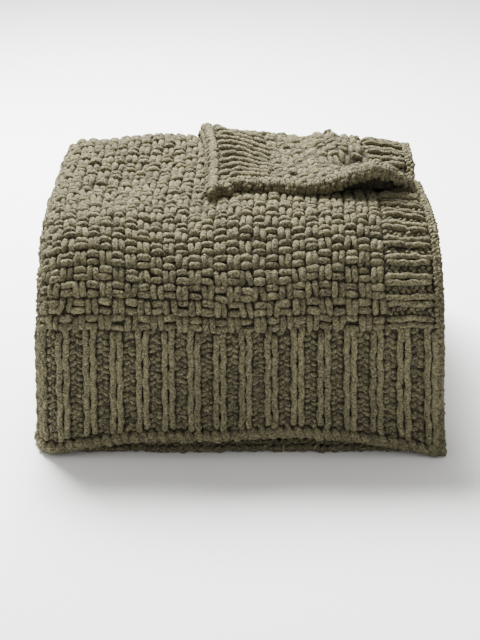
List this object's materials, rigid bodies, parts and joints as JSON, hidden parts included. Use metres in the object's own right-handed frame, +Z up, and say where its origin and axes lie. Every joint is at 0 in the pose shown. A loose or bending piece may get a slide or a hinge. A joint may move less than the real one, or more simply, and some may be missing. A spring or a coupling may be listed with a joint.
{
  "type": "folded knit throw blanket",
  "caption": "Thick basket-knit throw with ribbed borders, folded into a soft rectangular pile with one back corner turned over.",
  "frame": {"origin": "middle of the folded pile's plan, on the surface it rests on", "axes": "+X toward the side where the selvedges lie, +Y toward the turned back edge, +Z up; the hem hangs down the -Y face"},
  "size_m": [0.4442, 0.4214, 0.2796],
  "materials": {
    "knit": "matte chenille yarn, olive brown"
  },
  "bodies": {
    "root": {"blanket": "knit"}
  },
  "joints": []
}
